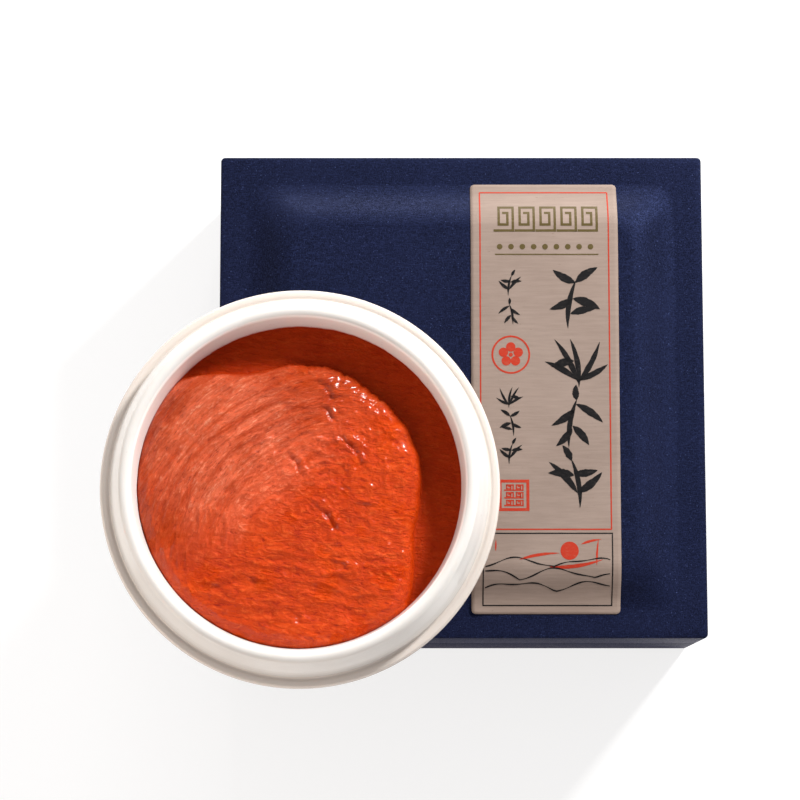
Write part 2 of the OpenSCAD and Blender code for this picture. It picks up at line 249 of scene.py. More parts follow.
def woven(finish, thread, length):
    """Short threads along X, Y and Z crossing each other, so that every face shows a weave."""
    across = 1 / thread
    along = 1 / length
    runs = []
    for stretch in ((along * 0.6, across, across), (across, along * 1.4, across), (across, across, along)):
        runs.append(finish.noise(1.0, 1.0, 0.5, finish.mapped(stretch)))
    crossed = finish.maths("MAXIMUM", runs[0], runs[1])
    return finish.maths("MAXIMUM", crossed, runs[2])


def navy_cloth():
    """Dark navy book cloth with a fine pearl thread, whose sparkle is painted as small lighter specks."""
    f = Finish(
        "navy_cloth",
        (0.016, 0.021, 0.058),
        Roughness=0.5,
        Specular_IOR_Level=0.14,
        Specular_Tint=(0.22, 0.34, 1.0, 1),
        Sheen_Weight=0.04,
        Sheen_Roughness=0.3,
        Sheen_Tint=(0.13, 0.19, 0.8, 1),
    )
    threads = woven(f, 0.00024, 0.0009)
    weave = f.span(threads, 0.5, 0.74)
    patches = f.span(f.noise(0.028, 3.0, 0.6), 0.36, 0.66)
    deep = f.tint(patches, (0.0023, 0.0026, 0.0064), (0.0039, 0.0047, 0.0130))
    cloth = f.tint(weave, deep, (0.0112, 0.015, 0.044))
    # painted glints: small lighter specks stand in for the sparkle of the thread
    painted_sparkle = f.span(f.noise(0.00034, 0.0, 0.5), 0.76, 0.86)
    f.colour(f.tint(painted_sparkle, cloth, (0.034, 0.046, 0.115)))
    f.roughness(f.span(weave, 0.0, 1.0, 0.62, 0.42))
    f.relief((patches, 0.0002, 0.12), (threads, 0.0001, 0.5))
    return f.material


def label_stock():
    """Uncoated beige paper with a fine grain across it."""
    f = Finish("label_stock", (0.52, 0.41, 0.32), Roughness=0.78, Specular_IOR_Level=0.25)
    grain = f.noise(1.0, 3.0, 0.6, f.mapped((120, 1400, 500)))
    fibre = f.noise(1.0, 2.0, 0.5, f.mapped((900, 4000, 4000), 4))
    clouds = f.noise(0.02, 3.0, 0.6)
    flat = f.tint(f.span(grain, 0.36, 0.66), (0.216, 0.160, 0.132), (0.266, 0.201, 0.168))
    warm = f.tint(f.span(clouds, 0.35, 0.7), (0.214, 0.158, 0.129), (0.266, 0.203, 0.169))
    mixed = f.tint(0.5, flat, warm)
    f.colour(f.tint(f.span(fibre, 0.7, 0.8), mixed, (0.17, 0.115, 0.088)))
    f.relief((grain, 0.00005, 0.3), (fibre, 0.00004, 0.35))
    return f.material


def ink(name, dark, light, roughness=0.55):
    """Printing ink that lets a little of the paper's grain through."""
    f = Finish(name, dark, Roughness=roughness, Specular_IOR_Level=0.12)
    worn = f.noise(1.0, 3.0, 0.65, f.mapped((700, 1600, 700)))
    f.colour(f.tint(f.span(worn, 0.52, 0.8), dark, light))
    f.relief((worn, 0.00002, 0.3))
    return f.material


def glazed_porcelain(name, stained):
    """Warm white glaze, with fine turned rings and pin-holes; in the pot, a stain above the paste, painted
    shade below the ledge's top and painted light on the well's inner wall.
    """
    f = Finish(
        name,
        (0.80, 0.77, 0.735),
        Roughness=0.24,
        Specular_IOR_Level=0.5,
        Subsurface_Weight=0.12,
        Subsurface_Scale=0.0025,
        Subsurface_Radius=(1.0, 0.75, 0.6),
        Coat_Weight=0.2,
        Coat_Roughness=0.16,
    )
    centre = POT * BENCH if stained else Vector((0, 0, 0))
    turned = f.rings(0.0011, centre, 1.5)
    clouds = f.noise(0.012, 3.0, 0.55)
    body = f.tint(f.span(clouds, 0.3, 0.72), (0.63, 0.605, 0.578), (0.66, 0.64, 0.616))
    specks = f.span(f.cells(0.0042), 0.0, 0.045, 1.0, 0.0)
    spotted = f.tint(f.times(specks, 0.55), body, (0.33, 0.20, 0.13))
    if stained:
        ledge = (POT.z + LEDGE_Z) * BENCH
        # painted shade: below the ledge's top the ledge, lip and outer bowl are tinted warmer and darker
        low = f.span(f.axis("Z"), ledge + 0.0003, ledge + 0.0012, 0.85, 0.0)
        spotted = f.tint(low, spotted, (0.585, 0.52, 0.47))
        length = f.tree.nodes.new("ShaderNodeVectorMath")
        length.operation = "LENGTH"
        f.feed(length.inputs[0], f.mapped((1, 1, 0), centre=centre))
        away = length.outputs["Value"]
        reach = (LIP_R - LEDGE_W - COLLAR_LEAN - COLLAR_T + 0.3) * BENCH
        inner = f.span(away, reach, reach + 0.0003, 1.0, 0.0)
        outer = f.span(away, reach - 0.003, reach - 0.0028)
        inside = f.times(inner, outer)
        # painted light: the inner wall of the well is tinted much lighter than the glaze
        spotted = f.tint(f.times(inside, 0.9), spotted, (0.88, 0.85, 0.82))
        level = (POT.z + PASTE_Z) * BENCH
        ragged = f.times(f.noise(0.0035, 3.0, 0.6), 0.0016)
        height = f.maths("SUBTRACT", f.axis("Z"), ragged)
        wet = f.span(height, level - 0.0002, level + 0.0009, 1.0, 0.0)
        wet = f.times(wet, f.span(height, level - 0.005, level - 0.004))
        flicks = f.span(f.noise(0.0011, 1.0, 0.5), 0.74, 0.80)
        near = f.span(height, level + 0.001, level + 0.006, 0.8, 0.0)
        above = f.span(height, level, level + 0.0005)
        flung = f.times(f.times(flicks, near), above)
        marks = f.maths("MAXIMUM", wet, flung)
        spotted = f.tint(f.times(marks, inside), spotted, (0.50, 0.055, 0.02))
    f.colour(spotted)
    f.roughness(f.span(clouds, 0.3, 0.7, 0.22, 0.27))
    sand = f.noise(0.0007, 2.0, 0.6)
    f.relief((clouds, 0.0003, 0.03), (turned, 0.00005, 0.15), (sand, 0.00006, 0.2), (specks, 0.0001, 0.3))
    return f.material


def vermilion_paste():
    """Oily vermilion paste: silky fibres drawn out in the direction it was folded, with painted sheen on
    the upper left and painted shade in the hollows and low places.
    """
    f = Finish(
        "vermilion_paste",
        (0.45, 0.045, 0.004),
        Roughness=0.42,
        Specular_IOR_Level=0.2,
        Subsurface_Weight=0.03,
        Subsurface_Scale=0.0008,
        Subsurface_Radius=(1.0, 0.25, 0.08),
        Coat_Roughness=0.24,
    )
    centre = POT * BENCH
    pivot = (POT + Vector((SWEEP.x, SWEEP.y, 0))) * BENCH
    drawn = f.noise(1.0, 5.0, 0.7, f.swept(pivot, 0.0024, 0.00048), 1.4)
    bands = f.noise(1.0, 2.0, 0.5, f.swept(pivot, 0.016, 0.0026), 0.8)
    lying = f.noise(1.0, 5.0, 0.66, f.mapped((280, 800, 800), -10, centre), 1.3)
    turned = f.mapped((1, 1, 1), 38, centre)
    upper = f.span(f.axis("Y", turned), -0.004, 0.012)
    bed = (POT.z + PASTE_Z) * BENCH
    upper = f.times(upper, f.span(f.axis("Z"), bed + 0.0008, bed + 0.0022))
    strands = f.blend(upper, lying, drawn)
    crumbs = f.times(f.noise(0.0017, 5.0, 0.72), 0.42)
    fibres = f.maths("ADD", f.times(strands, 0.58), crumbs)
    grain = f.noise(0.0005, 2.0, 0.6)
    pools = f.noise(0.010, 3.0, 0.6)
    red = f.tint(f.span(pools, 0.32, 0.68), (0.43, 0.030, 0.0004), (0.53, 0.046, 0.0008))
    level = f.axis("X", turned)
    left = f.times(f.span(level, 0.002, 0.018, 1.0, 0.2), f.span(level, -0.030, -0.018, 0.25, 1.0))
    # painted sheen: over the upper left of the lump the red is painted lighter
    lit = f.times(f.times(upper, left), f.span(bands, 0.36, 0.6, 0.3, 1.0))
    red = f.tint(f.times(lit, 0.8), red, (0.90, 0.155, 0.054))
    # painted sheen: the fibre crests are painted lighter everywhere, pinkish white over the upper left
    painted_sheen = f.tint(lit, (0.64, 0.082, 0.010), (0.98, 0.38, 0.22))
    ridged = f.tint(f.span(fibres, 0.52, 0.66), red, painted_sheen)
    # painted shade: the hollows between the fibres are painted dark red
    painted_hollow_shade = f.tint(f.span(fibres, 0.35, 0.46, 1.0, 0.0), ridged, (0.30, 0.014, 0.001))
    # painted shade: the paste is painted darker where it lies low, just above the bed
    edge = f.span(f.axis("Z"), bed + 0.0004, bed + 0.0026, 0.6, 0.0)
    f.colour(f.tint(edge, painted_hollow_shade, (0.27, 0.016, 0.001)))
    f.roughness(f.span(grain, 0.3, 0.7, 0.30, 0.50))
    f.feed(f.shader.inputs["Specular IOR Level"], f.span(lit, 0.0, 1.0, 0.06, 0.3))
    shiny = f.span(f.noise(0.0075, 2.0, 0.5), 0.36, 0.44)
    oily = f.times(shiny, f.span(f.axis("Z"), bed + 0.001, bed + 0.0024))
    coat = f.maths("MAXIMUM", f.span(lit, 0.0, 1.0, 0.0, 0.12), f.times(oily, 0.3))
    f.feed(f.shader.inputs["Coat Weight"], coat)
    f.feed(f.shader.inputs["Coat Roughness"], f.span(oily, 0.0, 1.0, 0.24, 0.19))
    depth = f.span(upper, 0.0, 1.0, 0.7, 1.0)
    f.relief((pools, 0.0008, 0.2), (f.times(fibres, depth), 0.0017, 1.0), (grain, 0.00012, 0.5))
    return f.material


def gold_satin():
    """Yellow satin with a close glossy weave."""
    f = Finish(
        "gold_satin",
        (0.60, 0.38, 0.11),
        Roughness=0.36,
        Specular_IOR_Level=0.6,
        Anisotropic=0.5,
        Sheen_Weight=0.35,
        Sheen_Roughness=0.3,
        Sheen_Tint=(1.0, 0.86, 0.5, 1),
    )
    threads = woven(f, 0.00022, 0.0035)
    folds = f.noise(0.018, 2.0, 0.5)
    lit = f.tint(f.span(folds, 0.3, 0.7), (0.52, 0.31, 0.08), (0.68, 0.45, 0.16))
    f.colour(f.tint(f.span(threads, 0.5, 0.75), lit, (0.80, 0.58, 0.26)))
    f.relief((folds, 0.0008, 0.2), (threads, 0.00008, 0.35))
    return f.material


def greyboard():
    """Recycled board: grey-brown pulp with light and dark flecks."""
    f = Finish("greyboard", (0.29, 0.27, 0.24), Roughness=0.92, Specular_IOR_Level=0.15)
    pulp = f.noise(0.0015, 4.0, 0.7)
    flecks = f.span(f.noise(0.0007, 0.0, 0.5), 0.72, 0.8)
    grey = f.tint(f.span(pulp, 0.3, 0.7), (0.24, 0.225, 0.2), (0.34, 0.32, 0.29))
    f.colour(f.tint(flecks, grey, (0.11, 0.10, 0.09)))
    f.relief((pulp, 0.0001, 0.4))
    return f.material


def kraft():
    f = Finish("kraft_tape", (0.47, 0.34, 0.2), Roughness=0.8, Specular_IOR_Level=0.25)
    pulp = f.noise(1.0, 3.0, 0.6, f.mapped((900, 900, 300)))
    f.colour(f.tint(f.span(pulp, 0.3, 0.7), (0.40, 0.28, 0.155), (0.53, 0.39, 0.24)))
    f.relief((pulp, 0.00005, 0.4))
    return f.material


def laid_paper(name, dark, light, roughness, coat=0.0):
    """Lining paper with close parallel lines in its surface."""
    f = Finish(name, light, Roughness=roughness, Coat_Weight=coat, Coat_Roughness=0.3)
    lines = f.noise(1.0, 2.0, 0.5, f.mapped((2200, 160, 700)))
    pulp = f.noise(0.004, 4.0, 0.65)
    f.colour(f.tint(f.span(pulp, 0.3, 0.7), dark, light))
    f.relief((pulp, 0.00008, 0.25), (lines, 0.00004, 0.4))
    return f.material


def grained_paper():
    """Dark covering paper embossed with a leather-like grain."""
    f = Finish("grained_paper", (0.012, 0.014, 0.03), Roughness=0.6, Specular_IOR_Level=0.35)
    grain = f.cells(0.0011, feature="SMOOTH_F1")
    worn = f.noise(0.02, 3.0, 0.6)
    f.colour(f.tint(f.span(worn, 0.35, 0.7), (0.010, 0.011, 0.024), (0.017, 0.02, 0.04)))
    f.relief((grain, 0.00015, 0.5))
    return f.material


def foam(name, dark, light, size):
    """Foam: small cells all over."""
    f = Finish(name, light, Roughness=0.95, Specular_IOR_Level=0.1)
    cells = f.cells(size)
    f.colour(f.tint(f.span(cells, 0.1, 0.6), dark, light))
    f.relief((cells, size, 0.4))
    return f.material


FINISHES = {
    "navy": navy_cloth(),
    "label": label_stock(),
    "black_ink": ink("black_ink", (0.005, 0.0045, 0.005), (0.022, 0.018, 0.017)),
    "red_ink": ink("red_ink", (0.36, 0.028, 0.012), (0.33, 0.065, 0.036)),
    "gold_ink": ink("gold_ink", (0.080, 0.058, 0.020), (0.125, 0.095, 0.045), 0.45),
    "pot": glazed_porcelain("pot_glaze", True),
    "pot_lid": glazed_porcelain("lid_glaze", False),
    "paste": vermilion_paste(),
    "satin": gold_satin(),
    "board": greyboard(),
    "tape": kraft(),
    "lining": laid_paper("lining_paper", (0.60, 0.52, 0.39), (0.72, 0.64, 0.5), 0.85),
    "neck_paper": laid_paper("neck_paper", (0.50, 0.33, 0.11), (0.62, 0.43, 0.17), 0.38, 0.3),
    "underside": grained_paper(),
    "dark_foam": foam("dark_foam", (0.012, 0.012, 0.013), (0.032, 0.032, 0.034), 0.0005),
    "sponge": foam("sponge", (0.55, 0.51, 0.40), (0.78, 0.74, 0.64), 0.0008),
}


# Bench tools


def add_object(name, data):
    made = bpy.data.objects.new(name, data)
    bpy.context.scene.collection.objects.link(made)
    return made


def set_down(name, bm, finish, body, slot, replaces=(), smooth=True, thickness=None, offset=-1.0, facing=0):
    """Turns a bench mesh into a piece that rides on a body, in metres and with outward faces.

    A sheet's outer side mostly faces up (facing 1) or down (facing -1).
    """
    bmesh.ops.remove_doubles(bm, verts=bm.verts, dist=MERGE)
    bmesh.ops.dissolve_degenerate(bm, edges=bm.edges, dist=MERGE)
    bmesh.ops.recalc_face_normals(bm, faces=bm.faces)
    if facing and facing * sum(f.normal.z * f.calc_area() for f in bm.faces) < 0:
        bmesh.ops.reverse_faces(bm, faces=bm.faces)
    bmesh.ops.scale(bm, vec=(BENCH, BENCH, BENCH), verts=bm.verts)
    mesh = bpy.data.meshes.new(name)
    bm.to_mesh(mesh)
    bm.free()
    mesh.materials.append(FINISHES[finish])
    piece = add_object(name, mesh)
    if smooth:
        mesh.shade_smooth()
    if thickness:
        skin = piece.modifiers.new("thickness", "SOLIDIFY")
        skin.thickness = thickness * BENCH
        skin.offset = offset
        skin.use_even_offset = True
    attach(piece, body)
    if replaces:
        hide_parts(*replaces)
    return piece


def pull_out(bm, edges):
    """Extrudes a row of edges and returns the new points and the new row."""
    made = bmesh.ops.extrude_edge_only(bm, edges=edges)["geom"]
    points = [g for g in made if isinstance(g, bmesh.types.BMVert)]
    fresh = set(points)
    edges_made = [g for g in made if isinstance(g, bmesh.types.BMEdge)]
    row = [e for e in edges_made if e.verts[0] in fresh and e.verts[1] in fresh]
    return points, row


def round_square(half, corner, x, y):
    """Where x, y of a plain square lies on a square of another size with round corners."""
    side = max(abs(x), abs(y))
    u, v = x / side * half, y / side * half
    run = half - min(abs(u), abs(v))
    if corner < 0.01 or run >= corner:
        return u, v
    bend = math.pi / 4 * (1 - run / corner)
    far = half - corner + corner * math.cos(bend)
    near = half - corner + corner * math.sin(bend)
    if abs(u) >= abs(v):
        return math.copysign(far, u), math.copysign(near, v)
    return math.copysign(near, u), math.copysign(far, v)


def fold_square(bm, edges, rows):
    """Carries a square row of edges on through rows of half width, level and corner radius."""
    plain = {}
    for e in edges:
        for v in e.verts:
            plain[v] = (v.co.x, v.co.y)
    for half, level, corner in rows:
        old_edges = edges
        points, edges = pull_out(bm, old_edges)
        fresh = set(points)
        carried = {}
        for p in points:
            before = next(e.other_vert(p) for e in p.link_edges if e.other_vert(p) not in fresh)
            carried[p] = plain[before]
            p.co.x, p.co.y = round_square(half, corner, *carried[p])
            p.co.z = level
        plain = carried
    return edges


def turn(bm, outline, steps):
    """Turns an outline of (radius, level) points round the upright axis."""
    points = [bm.verts.new((r, 0, z)) for r, z in outline]
    edges = [bm.edges.new(pair) for pair in zip(points, points[1:])]
    bmesh.ops.spin(
        bm,
        geom=points + edges,
        cent=(0, 0, 0),
        axis=(0, 0, 1),
        angle=2 * math.pi,
        steps=steps,
        use_merge=True,
    )
    bmesh.ops.remove_doubles(bm, verts=bm.verts, dist=MERGE)


def arc(cx, cz, r, start, end, count):
    """Points on a round stretch of an outline, angles in degrees from +radius towards +level."""
    angles = [math.radians(start + (end - start) * i / count) for i in range(count + 1)]
    return [(cx + r * math.cos(a), cz + r * math.sin(a)) for a in angles]


def oval(r0, z0, r1, z1, count):
    """Quarter of an oval from (r0, z0), where it is level, to (r1, z1), where it is upright."""
    angles = [math.pi / 2 * i / count for i in range(count + 1)]
    return [(r0 + (r1 - r0) * math.sin(a), z0 + (z1 - z0) * (1 - math.cos(a))) for a in angles]


def ripple(x, y, size, seed=0.0):
    return noise.noise(Vector((x / size, y / size, seed)))


# Lid and base of the case


def clamped(share):
    """A share held between 0 and 1."""
    return min(max(share, 0), 1)


def soft_least(a, b, width):
    """The lesser of a and b, rounded where they are alike."""
    near = max(width - abs(a - b), 0) / width
    return min(a, b) - near * near * width / 4


def pad_rise(x, y, reach):
    """Height of the padding at x, y, whose edge is reach from the middle."""
    depth = soft_least(reach - abs(x), reach - abs(y), HIP_ROUND)
    t = clamped(depth / SLOPE)
    return CROWN * (t - CREASE_EASE * math.sin(2 * math.pi * t) / (2 * math.pi))


def cloth_level(x, y):
    """Level of the cloth on the lid: it follows the padding, a little uneven, and gives under the pot."""
    rise = pad_rise(x, y, PAD_HALF + WRAP)
    share = rise / CROWN
    slack = SLACK * (ripple(x, y, 17.0, 3.1) - 0.6) * share
    ring = math.hypot(x - POT.x, y - POT.y) - (FOOT_R - FOOT_W / 2)
    dent = DENT * math.exp(-((ring / DENT_W) ** 2)) * share
    return BORDER + rise + slack - dent


def lay_grid(bm, cells, reach, crowd):
    """A square grid whose lines crowd together towards its edges."""
    bmesh.ops.create_grid(bm, x_segments=cells, y_segments=cells, size=1)
    for v in bm.verts:
        for i in range(2):
            t = v.co[i]
            v.co[i] = reach * (t * (1 - crowd) + crowd * math.sin(math.pi / 2 * t))


def skirt_rows(top, bottom, under):
    """Rows from a flat face over its outer edge, along the wall and back in behind it.

    The wall runs from level top to level bottom; under is 1 where it runs down and -1 where up.
    """
    rows = [(HALF - 2 * EDGE_R, top, 0.0)]
    for i in range(4):
        a = math.pi / 2 * i / 3
        out = HALF - FOLD_R * (1 - math.sin(a))
        rows.append((out, top - under * FOLD_R * (1 - math.cos(a)), EDGE_R - (HALF - out)))
    for i in range(4):
        a = math.pi / 2 * i / 3
        out = HALF - FOLD_R * (1 - math.cos(a))
        rows.append((out, bottom + under * FOLD_R * (1 - math.sin(a)), EDGE_R - (HALF - out)))
    for i in range(4):
        a = math.pi / 2 * i / 3
        out = HALF - WALL + FOLD_R * (1 - math.sin(a))
        rows.append((out, bottom + under * FOLD_R * (1 - math.cos(a)), 0.0))
    rows.append((HALF - WALL, bottom + under * TURN_IN, 0.0))
    return rows


def lid_cloth():
    """Cloth over the lid: the padded top, the skirt and the part turned in behind it."""
    bm = bmesh.new()
    lay_grid(bm, 160, PAD_HALF + WRAP + 2.0, 0.6)
    for v in bm.verts:
        v.co.z = cloth_level(v.co.x, v.co.y)
    rim = [e for e in bm.edges if e.is_boundary]
    fold_square(bm, rim, skirt_rows(BORDER, SKIRT_BOTTOM, 1))
    nodes = ["lid_fabric_wrap"]
    piece = set_down("lid_cloth", bm, "navy", "case_lid", "navy_fabric", nodes, thickness=WRAP, facing=1)
    side = 2 * (HALF + BORDER - SKIRT_BOTTOM + WALL + TURN_IN)
    return piece, side


def base_cloth():
    """Cloth round the base, turned in under the bottom board and over the rim."""
    bm = bmesh.new()
    lay_grid(bm, 90, HALF - TURN_IN, 0.7)
    middle = bm.faces[:]
    for v in bm.verts:
        v.co.z = BASE_BOTTOM
    rim = [e for e in bm.edges if e.is_boundary]
    fold_square(bm, rim, skirt_rows(BASE_BOTTOM, BASE_TOP, -1))
    bmesh.ops.delete(bm, geom=middle, context="FACES")
    nodes = ["base_fabric_wrap"]
    piece = set_down("base_cloth", bm, "navy", "base", "navy_fabric", nodes, thickness=WRAP, facing=-1)
    side = 2 * (HALF + BASE_TOP - BASE_BOTTOM + WALL + TURN_IN)
    return piece, side


def sponge_pad():
    """The padding under the cloth."""
    bm = bmesh.new()
    bmesh.ops.create_grid(bm, x_segments=60, y_segments=60, size=PAD_HALF - 0.2)
    rim = [e for e in bm.edges if e.is_boundary]
    for v in bm.verts:
        v.co.z = cloth_level(v.co.x, v.co.y) - WRAP - 0.25
        v.co.z = max(v.co.z, PANEL_TOP + 0.02)
    edges = fold_square(bm, rim, [(PAD_HALF - 0.2, PANEL_TOP, 0.0)])
    bmesh.ops.edgeloop_fill(bm, edges=edges)
    piece = set_down("lid_padding", bm, "sponge", "case_lid", "sponge", ["lid_sponge_pad"])


# Label and its print


LABEL_LEFT = label_low.x
LABEL_FRONT = label_low.y
LABEL_W = label_high.x - label_low.x
LABEL_L = label_high.y - label_low.y
PAPER = 0.2
INK = 0.02
LABEL_CORNER = 1.0
CURL = 0.55
CURL_LEFT = 7.0  # how far the curl reaches from the front left corner
CURL_RIGHT = 4.5
CURL_SHARE = 0.25  # the front right corner's share of the curl


def paper_level(u, v):
    """Level of the label's underside, u from its left edge and v from its front edge."""
    x = LABEL_LEFT + u
    y = LABEL_FRONT + v
    glued = max(cloth_level(x, y), cloth_level(x - 0.8, y), cloth_level(x + 0.8, y))
    left = max(0.0, 1 - math.hypot(u, v) / CURL_LEFT)
    right = max(0.0, 1 - math.hypot(LABEL_W - u, v) / CURL_RIGHT)
    return glued + 0.03 + CURL * (left * left + CURL_SHARE * right * right)


def on_label(u, v, lift=0.0):
    """A place on the paper's printed side, or lift above it."""
    here = paper_level(u, v)
    tilt_u = (paper_level(u + 0.4, v) - paper_level(u - 0.4, v)) / 0.8
    tilt_v = (paper_level(u, v + 0.4) - paper_level(u, v - 0.4)) / 0.8
    normal = Vector((-tilt_u, -tilt_v, 1)).normalized()
    return Vector((LABEL_LEFT + u, LABEL_FRONT + v, here)) + normal * (PAPER + lift)


def label_paper():
    """The paper itself, with rounded corners, laid over the padding's slopes."""
    bm = bmesh.new()
    bmesh.ops.create_grid(bm, x_segments=38, y_segments=140, size=0.5)
    for v in bm.verts:
        u = (v.co.x + 0.5) * LABEL_W
        w = (v.co.y + 0.5) * LABEL_L
        near_u = min(u, LABEL_W - u)
        near_w = min(w, LABEL_L - w)
        if near_u < LABEL_CORNER and near_w < LABEL_CORNER:
            away = Vector((LABEL_CORNER - near_u, LABEL_CORNER - near_w))
            reach = max(away.x, away.y)
            away = away * (reach / away.length) if away.length > 0 else away
            u += (LABEL_CORNER - away.x - near_u) * (1 if u < LABEL_W / 2 else -1)
            w += (LABEL_CORNER - away.y - near_w) * (1 if w < LABEL_L / 2 else -1)
        v.co = Vector((LABEL_LEFT + u, LABEL_FRONT + w, paper_level(u, w)))
    skin = {"thickness": PAPER, "offset": 1.0, "facing": 1}
    set_down("label_paper", bm, "label", "case_lid", "label_paper", ["lid_label"], **skin)


class Print:
    """Marks in one ink, laid flat on the label."""

    def __init__(self, name, finish, lift):
        self.name = name
        self.finish = finish
        self.lift = lift
        self.bm = bmesh.new()
        self.chance = random.Random(len(name) * 7 + 3)

    def ribbon(self, points, widths):
        """A stroke through points, each with its full width."""
        row = []
        last = len(points) - 1
        for i, (p, width) in enumerate(zip(points, widths)):
            before = Vector(points[max(i - 1, 0)])
            after = Vector(points[min(i + 1, last)])
            along = (after - before).normalized()
            side = Vector((-along.y, along.x)) * width / 2
            pair = [Vector(p) + side, Vector(p) - side]
            if not row:
                row = [self.bm.verts.new(on_label(*q, self.lift)) for q in pair]
                edge = self.bm.edges.new(row)
                continue
            fresh, new_row = pull_out(self.bm, [edge])
            edge = new_row[0]
            matched = sorted(fresh, key=lambda w: (w.co - row[0].co).length_squared)
            for w, q in zip(matched, pair):
                w.co = on_label(*q, self.lift)
            row = matched

    def line(self, a, b, width):
        """A ruled line, long ones in steps so that they follow the padding."""
        a, b = Vector(a), Vector(b)
        count = max(2, int((b - a).length / 0.8))
        points = [a.lerp(b, i / count) for i in range(count + 1)]
        self.ribbon(points, [width] * len(points))

    def box(self, u0, v0, u1, v1, width):
        h = width / 2
        self.line((u0 - h, v0), (u1 + h, v0), width)
        self.line((u0 - h, v1), (u1 + h, v1), width)
        self.line((u0, v0 + h), (u0, v1 - h), width)
        self.line((u1, v0 + h), (u1, v1 - h), width)

    def ring(self, u, v, radius, width, count=40):
        angles = [2 * math.pi * i / count for i in range(count + 1)]
        points = [(u + radius * math.cos(a), v + radius * math.sin(a)) for a in angles]
        self.ribbon(points, [width] * len(points))

    def brush(self, start, end, width, bow=0.0, press=0.6, count=14):
        """A brush stroke: it swells where pressed, tapers to its ends and has a rough edge."""
        a, b = Vector(start), Vector(end)
        side = Vector((-(b - a).y, (b - a).x)) * bow
        points = []
        widths = []
        for i in range(count + 1):
            t = i / count
            points.append(a.lerp(b, t) + side * 4 * t * (1 - t))
            swell = (t / press) if t < press else (1 - t) / (1 - press)
            rough = 1 + self.chance.uniform(-0.09, 0.09)
            widths.append(max(0.05, width * math.sin(math.pi / 2 * min(1, swell)) ** 0.8 * rough))
        self.ribbon(points, widths)

    def dot(self, u, v, radius, count=14):
        """A small round dab."""
        made = bmesh.ops.create_circle(self.bm, cap_ends=True, segments=count, radius=radius)["verts"]
        for w in made:
            w.co = on_label(u + w.co.x, v + w.co.y, self.lift)

    def set_down(self):
        printed = {"smooth": False, "thickness": INK, "facing": 1}
        set_down(self.name, self.bm, self.finish, "case_lid", "label_paper", **printed)


def fret_band(ink_print, u0, v0, u1, height, count, width):
    """A running square-spiral border."""
    pitch = (u1 - u0) / count
    s = pitch * 0.86
    step = height / 4
    for i in range(count):
        u = u0 + pitch * i
        path = [
            (u, v0),
            (u + s, v0),
            (u + s, v0 + height),
            (u + s * 0.22, v0 + height),
            (u + s * 0.22, v0 + step),
            (u + s * 0.70, v0 + step),
            (u + s * 0.70, v0 + 3 * step),
            (u + s * 0.48, v0 + 3 * step),
        ]
        for a, b in zip(path, path[1:]):
            along = (Vector(b) - Vector(a)).normalized() * width / 2
            ink_print.line(Vector(a) - along, Vector(b) + along, width)


def leaf_spray(ink_print, u, v, size, lean, leaves):
    """An ink sprig: a short stem with pointed leaves fanned from it."""
    stem_top = Vector((u + size * 0.06 * lean, v + size * 0.46))
    ink_print.brush((u - size * 0.10 * lean, v - size * 0.48), stem_top, size * 0.10, 0.06 * lean, 0.5)
    for place, angle, length, width in leaves:
        root = Vector((u - size * 0.10 * lean, v - size * 0.48)).lerp(stem_top, place)
        turn_by = math.radians(angle)
        tip = root + Vector((math.cos(turn_by) * lean, math.sin(turn_by))) * length * size
        ink_print.brush(root, tip, size * width, 0.05 * lean, 0.42)


def blossom(ink_print, u, v, radius, petals=5):
    """A plain five-petalled flower."""
    for i in range(petals):
        a = math.pi / 2 + 2 * math.pi * i / petals
        ink_print.dot(u + radius * 0.58 * math.cos(a), v + radius * 0.58 * math.sin(a), radius * 0.36)
    ink_print.dot(u, v, radius * 0.16, 10)


BAMBOO = [
    (0.95, 35, 0.52, 0.16),
    (0.95, 150, 0.50, 0.15),
    (0.62, -22, 0.56, 0.17),
    (0.62, 205, 0.50, 0.15),
    (0.30, 12, 0.50, 0.14),
]
ORCHID = [
    (0.10, 62, 0.95, 0.11),
    (0.10, 118, 0.90, 0.11),
    (0.15, 30, 0.72, 0.12),
    (0.15, 152, 0.66, 0.12),
    (0.55, -15, 0.45, 0.15),
]
WILLOW = [
    (0.90, -35, 0.62, 0.14),
    (0.80, 215, 0.56, 0.14),
    (0.45, -50, 0.48, 0.15),
    (0.40, 228, 0.46, 0.14),
    (0.98, 92, 0.30, 0.13),
]
REED = [
    (0.30, 48, 0.80, 0.14),
    (0.30, 140, 0.62, 0.15),
    (0.66, 5, 0.50, 0.16),
    (0.70, 172, 0.46, 0.15),
    (0.96, 60, 0.34, 0.13),
]


